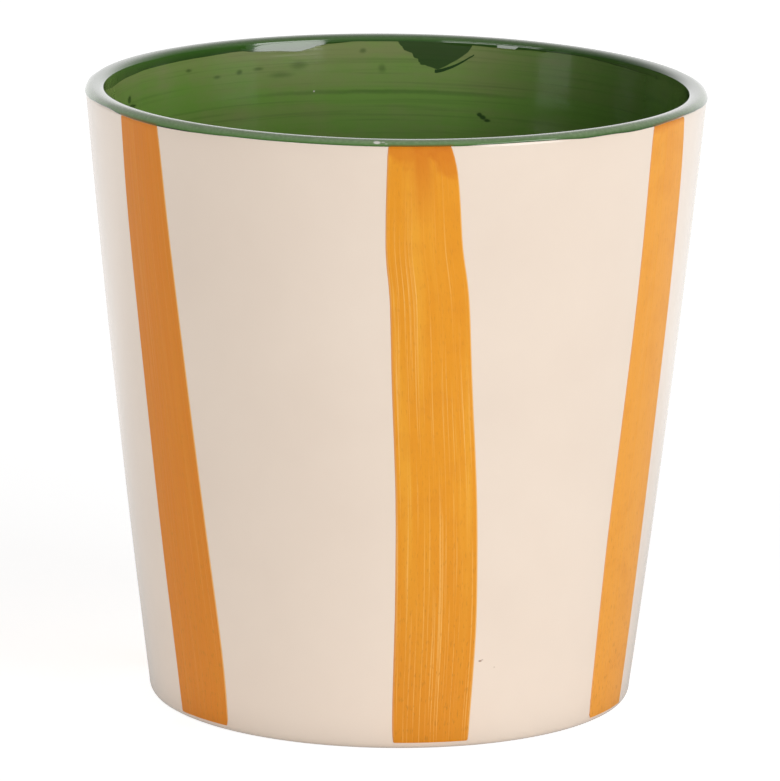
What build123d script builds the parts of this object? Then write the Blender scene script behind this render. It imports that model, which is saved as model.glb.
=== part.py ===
from build123d import *
from math import atan2, cos, degrees, hypot, pi, sin, sqrt
import os

# A hand-painted earthenware cachepot: one clay vessel and the coats that its maker puts on it,
# each coat a solid of its own that lies face to face on the one below.
# Millimetres and degrees, +Z up, origin at the centre of the foot. The front faces -Y.

# Clay vessel
clay_height = 149.2
rim_radius = 74.5
base_radius = 58.1
wall_belly = 0.7
wall_thickness = 3.6
floor_thickness = 5.0
floor_corner = 9.0
lip_rounding = 1.5
lip_limit_share = 0.47
foot_rounding = 2.2
foot_ring_width = 7.0
foot_recess = 1.8
foot_bevel = 1.2

# Green glaze: inside, over the lip and a little way down the outside
lining_thickness = 0.5
skirt_drop = 1.5

# Cream glaze: the outside, from just above the foot to the green edge
coat_thickness = 0.25
coat_foot_gap = 1.0

# Ochre strokes: each is one pull of a flat brush up the wall, from the foot to the green edge
brush_width = 20.0
stroke_thickness = 0.25
stroke_foot_gap = 1.8

# Room for cutting shapes to run past what they cut
overrun = 5.0

# Where a stroke's outline is set, as shares of its length from the foot up
station_shares = (0.0, 0.1, 0.3, 0.5, 0.7, 0.84, 0.93, 1.0)

# Each stroke's name, with its plumb line's place as a share of a full turn from the front towards +X
turn_shares = {
    "ochre_stripe_front": 0.022,
    "ochre_stripe_front_right": 0.172,
    "ochre_stripe_back_right": 0.342,
    "ochre_stripe_back": 0.514,
    "ochre_stripe_back_left": 0.686,
    "ochre_stripe_front_left": 0.8555,
}

# How far a stroke's middle wanders to the right of its plumb line, as shares of the brush width
drift_shares = {
    "ochre_stripe_front": (0.095, 0.105, 0.105, 0.04, -0.05, -0.155, -0.185, -0.215),
    "ochre_stripe_front_right": (0.08, 0.055, -0.005, -0.02, -0.015, -0.05, -0.085, -0.135),
    "ochre_stripe_back_right": (-0.06, -0.03, 0.04, 0.07, 0.05, 0.01, -0.03, -0.06),
    "ochre_stripe_back": (0.12, 0.09, 0.02, -0.04, -0.05, -0.03, 0.0, 0.02),
    "ochre_stripe_back_left": (0.02, 0.04, 0.06, 0.02, -0.06, -0.12, -0.14, -0.15),
    "ochre_stripe_front_left": (0.135, 0.145, 0.065, 0.005, -0.07, -0.125, -0.135, -0.145),
}

# How wide a stroke is, as shares of the brush width
width_shares = {
    "ochre_stripe_front": (0.91, 0.97, 0.98, 0.965, 0.945, 0.90, 0.85, 0.78),
    "ochre_stripe_front_right": (0.86, 0.92, 0.96, 0.915, 0.885, 0.86, 0.845, 0.76),
    "ochre_stripe_back_right": (0.88, 0.93, 0.95, 0.93, 0.90, 0.86, 0.83, 0.77),
    "ochre_stripe_back": (0.90, 0.96, 0.97, 0.94, 0.92, 0.89, 0.84, 0.79),
    "ochre_stripe_back_left": (0.87, 0.92, 0.94, 0.95, 0.91, 0.87, 0.82, 0.76),
    "ochre_stripe_front_left": (0.88, 0.94, 0.94, 0.90, 0.875, 0.85, 0.815, 0.77),
}

# Heights and places that the coats share
rim_height = clay_height + lining_thickness
skirt_height = rim_height - skirt_drop
half_wall = wall_thickness / 2
clay_lip = min(lip_rounding, lip_limit_share * wall_thickness)
past_rim = rim_radius + overrun
past_top = rim_height + overrun

# The wall's outer face is a circular arc in section, so every coat's face is an arc about one centre
wall_slant = hypot(rim_radius - base_radius, clay_height)
wall_lean = (rim_radius - base_radius) / wall_slant
wall_rise = clay_height / wall_slant
wall_sweep = (wall_slant**2 / 4 + wall_belly**2) / (2 * wall_belly)
centre_x = (base_radius + rim_radius) / 2 + wall_rise * (wall_belly - wall_sweep)
centre_height = clay_height / 2 - wall_lean * (wall_belly - wall_sweep)


def wall_radius(height, outward=0.0):
    """The radius at a height of the face that lies this far outward of the clay."""
    return centre_x + sqrt((wall_sweep + outward) ** 2 - (height - centre_height) ** 2)


def wall_arc(low, high, outward=0.0):
    """The section of that face between two heights."""
    heights = (low, (low + high) / 2, high)
    ThreePointArc(*[(wall_radius(height, outward), height) for height in heights])


def vessel_section(skin=0.0):
    """Half section of the vessel under a skin this thick, with X as radius and Y as height."""
    top = clay_height + skin
    bottom = -skin
    floor = floor_thickness + skin
    inward = -wall_thickness - skin
    with BuildSketch() as section:
        with BuildLine():
            Line((0, bottom), (wall_radius(bottom, skin), bottom))
            wall_arc(bottom, top, skin)
            Line((wall_radius(top, skin), top), (wall_radius(top, inward), top))
            wall_arc(top, floor, inward)
            Polyline((wall_radius(floor, inward), floor), (0, floor), (0, bottom))
        make_face()
        floor_corners = section.vertices().group_by(Axis.Y)[1]
        fillet(floor_corners.sort_by(Axis.X)[-1], floor_corner - skin)
        lip_corners = section.vertices().group_by(Axis.Y)[-1]
        fillet(lip_corners, clay_lip + skin)
        foot_corners = section.vertices().group_by(Axis.Y)[0]
        fillet(foot_corners.sort_by(Axis.X)[-1], foot_rounding + skin)
    return section.sketch


def outside_skin(depth, thickness):
    """Half section of a skin on the outside of the wall, laid on glaze already this deep."""
    with BuildSketch() as section:
        add(vessel_section(depth + thickness))
        add(vessel_section(depth), mode=Mode.SUBTRACT)
        with BuildLine():
            wall_arc(coat_foot_gap, skirt_height, -half_wall)
            Polyline(
                (wall_radius(skirt_height, -half_wall), skirt_height),
                (past_rim, skirt_height),
                (past_rim, coat_foot_gap),
                (wall_radius(coat_foot_gap, -half_wall), coat_foot_gap),
            )
        make_face(mode=Mode.INTERSECT)
    return section.sketch


# Clay vessel, standing on a ring round a shallow recess
recess_slope = degrees(atan2(foot_bevel, foot_recess))
with BuildPart() as earthenware_body:
    with BuildSketch(Plane.XZ):
        add(vessel_section())
    revolve(axis=Axis.Z)
    with BuildSketch(Plane.XY):
        Circle(base_radius - foot_ring_width)
    extrude(amount=foot_recess, taper=recess_slope, mode=Mode.SUBTRACT)
earthenware_body.part.label = "earthenware_body"

# Green glaze: a skin over the floor, the inside and the lip, down to the skirt's edge
middle_of_floor = floor_thickness / 2
with BuildPart() as green_glaze_lining:
    with BuildSketch(Plane.XZ):
        add(vessel_section(lining_thickness))
        add(vessel_section(), mode=Mode.SUBTRACT)
        with BuildLine():
            wall_arc(middle_of_floor, skirt_height, -half_wall)
            Polyline(
                (wall_radius(skirt_height, -half_wall), skirt_height),
                (past_rim, skirt_height),
                (past_rim, past_top),
                (0, past_top),
                (0, middle_of_floor),
                (wall_radius(middle_of_floor, -half_wall), middle_of_floor),
            )
        make_face(mode=Mode.INTERSECT)
    revolve(axis=Axis.Z)
green_glaze_lining.part.label = "green_glaze_lining"

# Cream glaze
cream_section = outside_skin(0, coat_thickness)
with BuildPart() as cream_glaze_coat:
    with BuildSketch(Plane.XZ):
        add(cream_section)
    revolve(axis=Axis.Z)
cream_glaze_coat.part.label = "cream_glaze_coat"

# Ochre strokes: a skin of slip on the cream, cut to the outline that the brush left
stroke_section = outside_skin(coat_thickness, stroke_thickness)
stroke_length = skirt_height - stroke_foot_gap


def stroke_edge(name, side):
    """Points up one edge of a stroke, side -1 for its left edge and 1 for its right."""
    points = []
    stations = zip(station_shares, drift_shares[name], width_shares[name])
    for station_share, drift_share, width_share in stations:
        across = brush_width * (drift_share + side * width_share / 2)
        points.append((across, stroke_foot_gap + station_share * stroke_length))
    return points


def paint_stroke(name):
    """One stroke, cut straight through the skin towards its bearing."""
    bearing = 2 * pi * turn_shares[name]
    facing = Plane(
        origin=(0, 0, 0),
        x_dir=(cos(bearing), sin(bearing), 0),
        z_dir=(sin(bearing), -cos(bearing), 0),
    )
    left_edge = stroke_edge(name, -1)
    right_edge = stroke_edge(name, 1)
    with BuildPart() as ochre_stripe:
        with BuildSketch(Plane.XZ):
            add(stroke_section)
        revolve(axis=Axis.Z)
        with BuildSketch(facing):
            with BuildLine():
                Line(right_edge[0], left_edge[0])
                Spline(*left_edge)
                Polyline(
                    left_edge[-1],
                    (left_edge[-1][0], past_top),
                    (right_edge[-1][0], past_top),
                    right_edge[-1],
                )
                Spline(*right_edge)
            make_face()
        extrude(amount=past_rim, mode=Mode.INTERSECT)
    ochre_stripe.part.label = name
    return ochre_stripe.part


pieces = [earthenware_body.part, green_glaze_lining.part, cream_glaze_coat.part]
for stroke_name in turn_shares:
    pieces.append(paint_stroke(stroke_name))

os.makedirs("parts", exist_ok=True)
for piece in pieces:
    export_step(piece, f"parts/{piece.label}.step")
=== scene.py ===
import bmesh
import bpy
import math
import random
from mathutils import Matrix, Vector


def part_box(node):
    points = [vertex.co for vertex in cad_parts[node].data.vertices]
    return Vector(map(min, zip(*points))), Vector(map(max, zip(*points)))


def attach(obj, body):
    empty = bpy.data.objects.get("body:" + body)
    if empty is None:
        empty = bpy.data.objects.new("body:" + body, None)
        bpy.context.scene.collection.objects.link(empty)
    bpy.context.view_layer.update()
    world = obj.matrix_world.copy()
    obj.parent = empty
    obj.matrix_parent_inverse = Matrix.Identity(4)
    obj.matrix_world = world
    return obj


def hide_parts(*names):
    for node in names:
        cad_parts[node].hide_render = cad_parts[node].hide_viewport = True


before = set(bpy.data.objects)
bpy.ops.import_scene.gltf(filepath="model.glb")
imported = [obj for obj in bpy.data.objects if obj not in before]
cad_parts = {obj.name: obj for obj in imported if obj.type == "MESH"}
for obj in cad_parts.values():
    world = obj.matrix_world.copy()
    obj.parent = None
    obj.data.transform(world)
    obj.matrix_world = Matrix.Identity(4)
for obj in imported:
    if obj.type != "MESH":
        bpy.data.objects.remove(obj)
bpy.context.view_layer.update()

# A hand-painted earthenware cachepot on a white sweep.
# Values in the dictionaries are millimetres and degrees. Bearings run from the front, -Y, towards +X.


def mm(length):
    return length / 1000


def nodeHeights(node):
    low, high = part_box(node)
    return low.z * 1000, high.z * 1000


pot = {
    "rimRadius": 74.5,        # clay, where the wall's outer line meets its top
    "baseRadius": 58.1,
    "belly": 0.7,             # how far the wall swells out of a straight cone
    "wall": 3.6,
    "floor": 5.0,
    "floorCorner": 9.0,
    "lipRounding": 1.5,
    "footRounding": 2.2,
}
near = 0.01                   # a vertex this close to a place is there
weld = 0.002                  # vertices this close are merged
usualIor = 1.5
clayHeight = nodeHeights("earthenware_body")[1]
rimHeight = nodeHeights("green_glaze_lining")[1]
skirtHeight = nodeHeights("cream_glaze_coat")[1]
strokeFoot = nodeHeights("ochre_stripe_front")[0]

# the wall's outer line is a long arc, so each coat's face is an arc round one centre
slant = math.hypot(pot["rimRadius"] - pot["baseRadius"], clayHeight)
lean = (pot["rimRadius"] - pot["baseRadius"]) / slant
rise = clayHeight / slant
sweep = (slant ** 2 / 4 + pot["belly"] ** 2) / (2 * pot["belly"])
sweepRadius = (pot["baseRadius"] + pot["rimRadius"]) / 2 + rise * (pot["belly"] - sweep)
sweepHeight = clayHeight / 2 - lean * (pot["belly"] - sweep)


def wallRadius(height, outward):
    return sweepRadius + math.sqrt((sweep + outward) ** 2 - (height - sweepHeight) ** 2)


lipSeat = clayHeight - pot["lipRounding"]            # where the lip's rounding starts
lipCentre = wallRadius(lipSeat, 0) - pot["lipRounding"]
footCentre = wallRadius(pot["footRounding"], 0) - pot["footRounding"]


def outsideRadius(height, skin):
    # the outside of a coat this thick, over foot, wall and lip
    if height < pot["footRounding"]:
        rounding = pot["footRounding"] + skin
        return footCentre + math.sqrt(rounding ** 2 - (pot["footRounding"] - height) ** 2)
    if height > lipSeat:
        rounding = pot["lipRounding"] + skin
        return lipCentre + math.sqrt(max(0, rounding ** 2 - (height - lipSeat) ** 2))
    return wallRadius(height, skin)


def spread(start, end, count):
    return [start + (end - start) * i / count for i in range(count + 1)]


def arc(centre, radius, angles):
    # points round a centre, each as (radius from the pot's axis, height)
    turns = [math.radians(angle) for angle in angles]
    return [(centre[0] + radius * math.cos(turn), centre[1] + radius * math.sin(turn)) for turn in turns]


def toLinear(hexColour):
    channels = [int(hexColour[i:i + 2], 16) / 255 for i in (1, 3, 5)]
    return [c / 12.92 if c <= 0.04045 else ((c + 0.055) / 1.055) ** 2.4 for c in channels] + [1]


def addNode(tree, kind, inputs=None, **settings):
    # an input is a value, a socket, or a node whose first output in use is linked
    node = tree.nodes.new("ShaderNode" + kind)
    for name, value in settings.items():
        setattr(node, name, value)
    for socket, value in (inputs or {}).items():
        if isinstance(value, bpy.types.Node):
            value = next(output for output in value.outputs if output.enabled)
        if isinstance(value, bpy.types.NodeSocket):
            tree.links.new(value, node.inputs[socket])
        else:
            node.inputs[socket].default_value = value
    return node


def startMaterial(name):
    material = bpy.data.materials.new(name)
    material.use_nodes = True
    material.node_tree.nodes.clear()
    return material, material.node_tree


def finishMaterial(tree, values, first, layers, surface):
    # each layer's colour is laid over those before it, by its share
    colour = toLinear(values[first])
    for share, layer in layers:
        colour = addNode(tree, "Mix", {0: share, 6: colour, 7: toLinear(values[layer])}, data_type='RGBA')
    if "topLayer" in values:
        surface = {"Coat Weight": values["topLayer"], "Coat Roughness": values["topRoughness"],
                   "Coat IOR": usualIor, **surface}
    shader = addNode(tree, "BsdfPrincipled", {
        "Base Color": colour, "Roughness": values["roughness"], "IOR": values.get("ior", usualIor), **surface})
    addNode(tree, "OutputMaterial", {"Surface": shader})


def spotShare(tree, place, spot):
    # a soft-edged oval: its middle, its reach, the core's share of the reach, and how strongly it shows
    middle, reach, core, share = spot
    away = addNode(tree, "VectorMath", {0: place, 1: [mm(v) for v in middle]}, operation='SUBTRACT')
    shrunk = addNode(tree, "VectorMath", {0: away, 1: [1000 / v for v in reach]},
                     operation='MULTIPLY')
    distance = addNode(tree, "VectorMath", {0: shrunk}, operation='LENGTH')
    return addNode(tree, "MapRange", {
        "Value": distance, "From Min": core, "From Max": 1, "To Min": share, "To Max": 0},
        interpolation_type='SMOOTHSTEP')


def editMode():
    bpy.ops.object.mode_set(mode='EDIT')


def objectMode():
    bpy.ops.object.mode_set(mode='OBJECT')


def only(piece):
    bpy.ops.object.select_all(action='DESELECT')
    piece.select_set(True)
    bpy.context.view_layer.objects.active = piece


def pickVerts(piece, test):
    # selects the vertices whose place in millimetres passes the test
    mesh = bmesh.from_edit_mesh(piece.data)
    bpy.ops.mesh.select_mode(type='VERT')
    for vert in mesh.verts:
        vert.select_set(test(vert.co * 1000))
    mesh.select_flush(True)
    bmesh.update_edit_mesh(piece.data)


def setAttribute(piece, name, values):
    attribute = piece.data.attributes.new(name, 'FLOAT', 'POINT')
    attribute.data.foreach_set("value", values)


def applyModifier(piece, kind, **settings):
    only(piece)
    modifier = piece.modifiers.new(kind, kind)
    for name, value in settings.items():
        setattr(modifier, name, value)
    bpy.ops.object.modifier_apply(modifier=modifier.name)


def drawAndSpin(name, points, steps):
    # one vertex is extruded along the section, which then spins round the pot's axis
    bpy.ops.object.select_all(action='DESELECT')
    bpy.ops.mesh.primitive_plane_add(size=mm(1), location=(0, 0, 0))
    piece = bpy.context.object
    piece.name = piece.data.name = name
    editMode()
    bpy.ops.mesh.merge(type='CENTER')
    radius, height = points[0]
    bpy.ops.transform.translate(value=(mm(radius), 0, mm(height)))
    for nextRadius, nextHeight in points[1:]:
        step = (mm(nextRadius - radius), 0, mm(nextHeight - height))
        bpy.ops.mesh.extrude_vertices_move(TRANSFORM_OT_translate={"value": step})
        radius, height = nextRadius, nextHeight
    bpy.ops.mesh.select_all(action='SELECT')
    bpy.ops.mesh.spin(steps=steps, angle=math.tau, center=(0, 0, 0), axis=(0, 0, 1))
    bpy.ops.mesh.select_all(action='SELECT')
    bpy.ops.mesh.remove_doubles(threshold=mm(weld))
    bpy.ops.mesh.normals_make_consistent(inside=False)
    objectMode()
    return piece


def finishPiece(piece, material, node, crease):
    only(piece)
    bpy.ops.object.transform_apply(location=True, rotation=True, scale=True)
    bpy.ops.object.shade_smooth_by_angle(angle=math.radians(crease))
    piece.data.materials.clear()
    piece.data.materials.append(material)
    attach(piece, "root")
    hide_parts(node)
    print("made", piece.name, len(piece.data.polygons), "faces")


# Bare earthenware: fired buff clay, turned on a wheel and left unglazed under the foot.
# Matt and slightly gritty, with faint turning rings and fine dark grog specks.
clay = {
    "body": "#C8A98D",
    "dark": "#A98669",
    "speck": "#6E5341",
    "cloud": 4.4,
    "ring": 1.6,              # turning rings lie tau times this apart
    "speckSpacing": 2.4,
    "speckCore": 0.08,        # a speck's core and edge, as shares of the spacing
    "speckEdge": 0.14,
    "roughness": 0.85,
    "relief": 0.05,
    "bump": 0.5,
}


def makeClay():
    material, tree = startMaterial("bareEarthenware")
    place = addNode(tree, "TexCoord").outputs["Object"]
    clouds = addNode(tree, "TexNoise", {
        "Vector": place, "Scale": 1000 / clay["cloud"], "Detail": 5, "Roughness": 0.6})
    # at scale 1 the wave texture repeats every tau / 20
    rings = addNode(tree, "TexWave", {
        "Vector": place, "Scale": 1000 / clay["ring"] / 20, "Distortion": 1.5, "Detail": 2},
        wave_type='RINGS', rings_direction='Z')
    specks = addNode(tree, "TexVoronoi", {"Vector": place, "Scale": 1000 / clay["speckSpacing"]})
    speckShare = addNode(tree, "MapRange", {
        "Value": specks, "From Min": clay["speckCore"], "From Max": clay["speckEdge"],
        "To Min": 1, "To Max": 0})
    relief = addNode(tree, "Math", {0: rings.outputs["Fac"], 1: clouds}, operation='ADD')
    bump = addNode(tree, "Bump", {
        "Height": relief, "Strength": clay["bump"], "Distance": mm(clay["relief"])})
    finishMaterial(tree, clay, "dark", [(clouds, "body"), (speckShare, "speck")], {"Normal": bump})
    return material


# Cream glaze: an opaque tin-white glaze over buff clay, dipped and fired to a satin gloss.
# It reads warm and even, with faint clouding, an orange-peel skin and a few iron specks,
# and its clear top layer whitens towards the sides of the pot.
creamGlaze = {
    "light": "#E6D6C6",
    "shade": "#DFCEBE",
    "speck": "#7A5138",
    "cloud": 26.0,
    "peel": 2.6,
    "peelDepth": 0.02,
    "bump": 0.3,
    "speckSpacing": 42.0,
    "speckRadius": 0.3,
    "speckCore": 0.6,         # as a share of the radius
    "speckShare": 0.6,
    "roughness": 0.24,
    "uneven": 0.15,           # how much the roughness varies with the clouds
    "topLayer": 0.5,
    "topRoughness": 0.12,
}
ironSpecks = (
    ((21.4, -57.2, 21.7), (0.62, 0.62, 0.34), 0.3, 0.75),
    ((21.9, -57.0, 21.95), (0.4, 0.4, 0.2), 0.3, 0.5),
    ((24.8, -55.6, 19.8), (0.3, 0.3, 0.3), 0.2, 0.3),
)


def makeCream():
    material, tree = startMaterial("creamGlaze")
    place = addNode(tree, "TexCoord").outputs["Object"]
    clouds = addNode(tree, "TexNoise", {
        "Vector": place, "Scale": 1000 / creamGlaze["cloud"], "Detail": 3, "Roughness": 0.55})
    peel = addNode(tree, "TexNoise", {
        "Vector": place, "Scale": 1000 / creamGlaze["peel"], "Detail": 1.5})
    specks = addNode(tree, "TexVoronoi", {
        "Vector": place, "Scale": 1000 / creamGlaze["speckSpacing"]})
    speckEdge = creamGlaze["speckRadius"] / creamGlaze["speckSpacing"]
    speckShare = addNode(tree, "MapRange", {
        "Value": specks, "From Min": speckEdge * creamGlaze["speckCore"], "From Max": speckEdge,
        "To Min": creamGlaze["speckShare"], "To Max": 0})
    layers = [(clouds, "light"), (speckShare, "speck")]
    layers += [(spotShare(tree, place, spot), "speck") for spot in ironSpecks]
    gloss = addNode(tree, "MapRange", {
        "Value": clouds, "To Min": creamGlaze["roughness"] * (1 - creamGlaze["uneven"]),
        "To Max": creamGlaze["roughness"] * (1 + creamGlaze["uneven"])})
    bump = addNode(tree, "Bump", {
        "Height": peel, "Strength": creamGlaze["bump"], "Distance": mm(creamGlaze["peelDepth"])})
    finishMaterial(tree, creamGlaze, "shade", layers,
                   {"Roughness": gloss, "Normal": bump, "Coat Normal": bump})
    return material


# Cream coat: a skin over the outside that runs on up under the green skirt
coat = {
    "thickness": 0.25,
    "foot": 0.2,              # where the dipped edge ends, above the floor
    "footSkin": 0.55,         # its thickness there, as a share, so that it rounds off to the clay
    "underSkirt": 0.75,       # its top, below the rim
    "rowHeight": 3.0,
    "footRows": 6,
    "lipRows": 5,
    "innerEvery": 3,          # the inner face has every third row
    "steps": 320,
    "waviness": 0.05,
    "waveLength": 16.0,
    "crease": 40,             # edges sharper than this stay sharp
}


def makeCoat(material):
    rows = round((lipSeat - pot["footRounding"]) / coat["rowHeight"])
    heights = spread(coat["foot"], pot["footRounding"], coat["footRows"])[:-1]
    heights += spread(pot["footRounding"], lipSeat, rows)[:-1]
    heights += spread(lipSeat, rimHeight - coat["underSkirt"], coat["lipRows"])
    outer = [(outsideRadius(height, coat["thickness"]), height) for height in heights]
    outer[0] = (outsideRadius(coat["foot"], coat["thickness"] * coat["footSkin"]), coat["foot"])
    innerHeights = heights[::coat["innerEvery"]] + [heights[-1]]
    inner = [(outsideRadius(height, 0), height) for height in reversed(innerHeights)]
    # the section's two ends, at the foot, are left apart
    piece = drawAndSpin("creamGlazeCoat", outer + inner, coat["steps"])
    waves = bpy.data.textures.new("coatWaves", 'CLOUDS')
    waves.noise_scale = mm(coat["waveLength"])
    applyModifier(piece, 'DISPLACE', texture=waves, texture_coords='LOCAL', strength=mm(coat["waviness"]),
                  mid_level=0.5)
    finishPiece(piece, material, "cream_glaze_coat", coat["crease"])
    return piece


# Ochre strokes: each is one pull of a flat brush, from the foot to the green edge.
# Stations run from the foot up; drift and width are shares of the brush's width.
stroke = {
    "brushWidth": 20.0,
    "depth": 0.16,            # slip's thickness along the middle
    "thinnest": 0.05,         # and where it is thinnest, as a share
    "sunk": 0.02,             # the back lies this far inside the cream, so that the edges feather out
    "edge": 0.5,              # how far in from its edge the slip reaches full depth
    "feather": 0.08,          # its share of that depth at the very edge
    "bead": 1.15,             # depth of the ridge just inside the edge, where the middle is 1
    "ridges": 0.16,           # how much bristle ridges vary the depth
    "topUnderSkirt": 0.8,
    "skirtRun": 0.6,          # the slip starts to thin this far below the skirt
    "skirtThin": 0.5,         # and loses this share of its depth
    "columns": 40,
    "levels": 3,              # of smoothing
    "lift": 1.0,
    "standOff": 12.0,         # where the flat stroke waits before it is pressed on
    "seed": 11,
    "crease": 60,
}
usualStations = (0.0, 0.1, 0.3, 0.5, 0.7, 0.84, 0.93, 1.0)
# each stroke's tone is painted shade and light: 0 for the shaded front-left stroke, 1 for the lit front-right
# one, the hidden ones in between
strokes = {
    "ochreStripeFront": {
        "node": "ochre_stripe_front", "turn": 0.022, "foot": 0.95, "levels": 2,
        "tone": 0.5, "dry": 1.0, "blot": 4.4, "blotLean": 5.0,
        "stations": (0.0, 0.03, 0.1, 0.2, 0.3, 0.4, 0.5, 0.6, 0.7, 0.755, 0.79, 0.83, 0.88, 0.93, 0.97, 1.0),
        "drift": (0.098, 0.095, 0.105, 0.12, 0.105, 0.085, 0.04, -0.015, -0.05, -0.075, -0.115, -0.155,
                  -0.17, -0.185, -0.205, -0.24),
        "width": (0.92, 0.935, 0.97, 0.99, 0.985, 0.975, 0.965, 0.955, 0.945, 0.935, 0.93, 0.905, 0.885,
                  0.855, 0.81, 0.73)},
    "ochreStripeFrontRight": {
        "node": "ochre_stripe_front_right", "turn": 0.172, "foot": 0.4,
        "tone": 1.0, "dry": 0.2, "blot": 1.5, "blotLean": -1.0,
        "drift": (0.08, 0.055, -0.005, -0.02, -0.015, -0.05, -0.085, -0.135),
        "width": (0.87, 0.92, 0.96, 0.915, 0.885, 0.86, 0.845, 0.76)},
    "ochreStripeBackRight": {
        "node": "ochre_stripe_back_right", "turn": 0.342, "foot": 1.3,
        "tone": 0.6, "dry": 0.6, "blot": 3.0, "blotLean": 2.0,
        "drift": (-0.06, -0.03, 0.04, 0.07, 0.05, 0.01, -0.03, -0.06),
        "width": (0.88, 0.93, 0.95, 0.93, 0.90, 0.86, 0.83, 0.77)},
    "ochreStripeBack": {
        "node": "ochre_stripe_back", "turn": 0.514, "foot": 0.8,
        "tone": 0.3, "dry": 0.8, "blot": 4.0, "blotLean": -3.0,
        "drift": (0.12, 0.09, 0.02, -0.04, -0.05, -0.03, 0.0, 0.02),
        "width": (0.90, 0.96, 0.97, 0.94, 0.92, 0.89, 0.84, 0.79)},
    "ochreStripeBackLeft": {
        "node": "ochre_stripe_back_left", "turn": 0.686, "foot": 1.1,
        "tone": 0.7, "dry": 0.4, "blot": 1.6, "blotLean": 1.5,
        "drift": (0.02, 0.04, 0.06, 0.02, -0.06, -0.12, -0.14, -0.15),
        "width": (0.87, 0.92, 0.94, 0.95, 0.91, 0.87, 0.82, 0.76)},
    "ochreStripeFrontLeft": {
        "node": "ochre_stripe_front_left", "turn": 0.8555, "foot": 0.35,
        "tone": 0.0, "dry": 0.25, "blot": 0.9, "blotLean": 1.6,
        "drift": (0.135, 0.145, 0.065, 0.005, -0.07, -0.125, -0.135, -0.145),
        "width": (0.88, 0.94, 0.94, 0.90, 0.875, 0.85, 0.815, 0.77)},
}
seenLength = skirtHeight - strokeFoot                     # up to the green skirt
strokeLength = seenLength + stroke["topUnderSkirt"]
seenShare = seenLength / strokeLength

# Ochre slip: coloured clay brushed on with a flat brush and fired under a thin clear glaze.
# Each pull shows its bristles as fine lengthwise streaks, is paler where it thins at its left edge,
# has a painted highlight along its right edge and is deeper in a blot where the brush stopped.
# Strokes on the left carry painted shade and those on the right painted light.
ochreSlip = {
    "left": "#D77E0F",        # painted shade and light: the colour of the shaded front-left stroke, of a middle one and of the lit front-right one
    "middle": "#DE9010",
    "right": "#E4992C",
    "pale": "#E6A52E",
    "deep": "#D2820F",
    "line": "#EDB762",
    "blot": "#CE7400",
    "fleck": "#BA7712",
    "pinkEdge": "#D9996A",
    # painted highlight for each stroke's right edge
    "edgeHighlight": "#EFCB8C",
    "bristles": (0.5, 70.0, 4, 0.65),     # patterns: width across, length along, detail, roughness
    "bands": (3.0, 100.0, 2, 0.5),
    "clouds": (8.0, 8.0, 3, 0.5),
    "flecks": (0.4, 2.0, 2, 0.5),
    "apart": 30,              # how far apart in the patterns two strokes may lie
    "rag": 0.1,               # how ragged a blot's lower end is, as a share of the stroke's length
    "coreLength": 20.0,       # how far the deeper middle runs down from the blot
    "roughness": 0.42,
    "relief": 0.03,
    "bump": 0.4,
    "ior": 1.36,
    "topLayer": 0.04,
    "topRoughness": 0.2,
}
# what each share is measured by, from where to where, and its value at both ends
ochreShares = {
    # the stroke's tone as painted shade and light: towards the middle colour, then towards the lit right one
    "usual": ("tone", 0, 0.5, 0, 1),
    "litShare": ("tone", 0.5, 1, 0, 1),
    "bands": ("bands", 0.5, 0.7, 0, 0.5),
    "clouds": ("clouds", 0.48, 0.72, 0, 0.3),
    "foot": ("along", 0.08, 0.4, 0.7, 0),
    "lines": ("bristles", 0.54, 0.7, 0, 0.75),
    "parted": ("down", 0.05, 0.25, 0.35, 1),          # the bristles only part below the blot
    "flecks": ("flecks", 0.58, 0.72, 0, 1),           # short and dark, between the bristle marks
    "footFlecks": ("along", 0.02, 0.4, 0.8, 0.3),     # more of them near the foot
    "blot": ("pastBlot", -0.012, 0.004, 1, 0),
    "patches": ("clouds", 0.4, 0.6, 1, 0.6),
    "core": ("across", 0.3, 0.42, 0, 1),              # the deeper middle, from its left side
    "coreRight": ("across", 0.58, 0.7, 1, 0),
    "coreFade": ("down", 0.02, ochreSlip["coreLength"] / strokeLength, 0.8, 0),
    "leftEdge": ("across", 0, 0.035, 0.6, 0),         # where the slip thins
    "litRightEdge": ("across", 0.975, 0.995, 0, 0.7),    # a painted highlight along the right edge, where the light from the right catches it
}
ochreFactors = (("bands", "dry"), ("foot", "dry"), ("lines", "parted"), ("lines", "dry"),
                ("flecks", "footFlecks"), ("blot", "patches"), ("core", "coreRight"), ("core", "coreFade"),
                ("core", "dry"))
ochreLayers = (("usual", "middle"), ("litShare", "right"), ("bands", "pale"), ("clouds", "deep"),
               ("foot", "deep"), ("lines", "line"), ("flecks", "fleck"), ("blot", "blot"),
               ("leftEdge", "pinkEdge"), ("litRightEdge", "edgeHighlight"))


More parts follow.
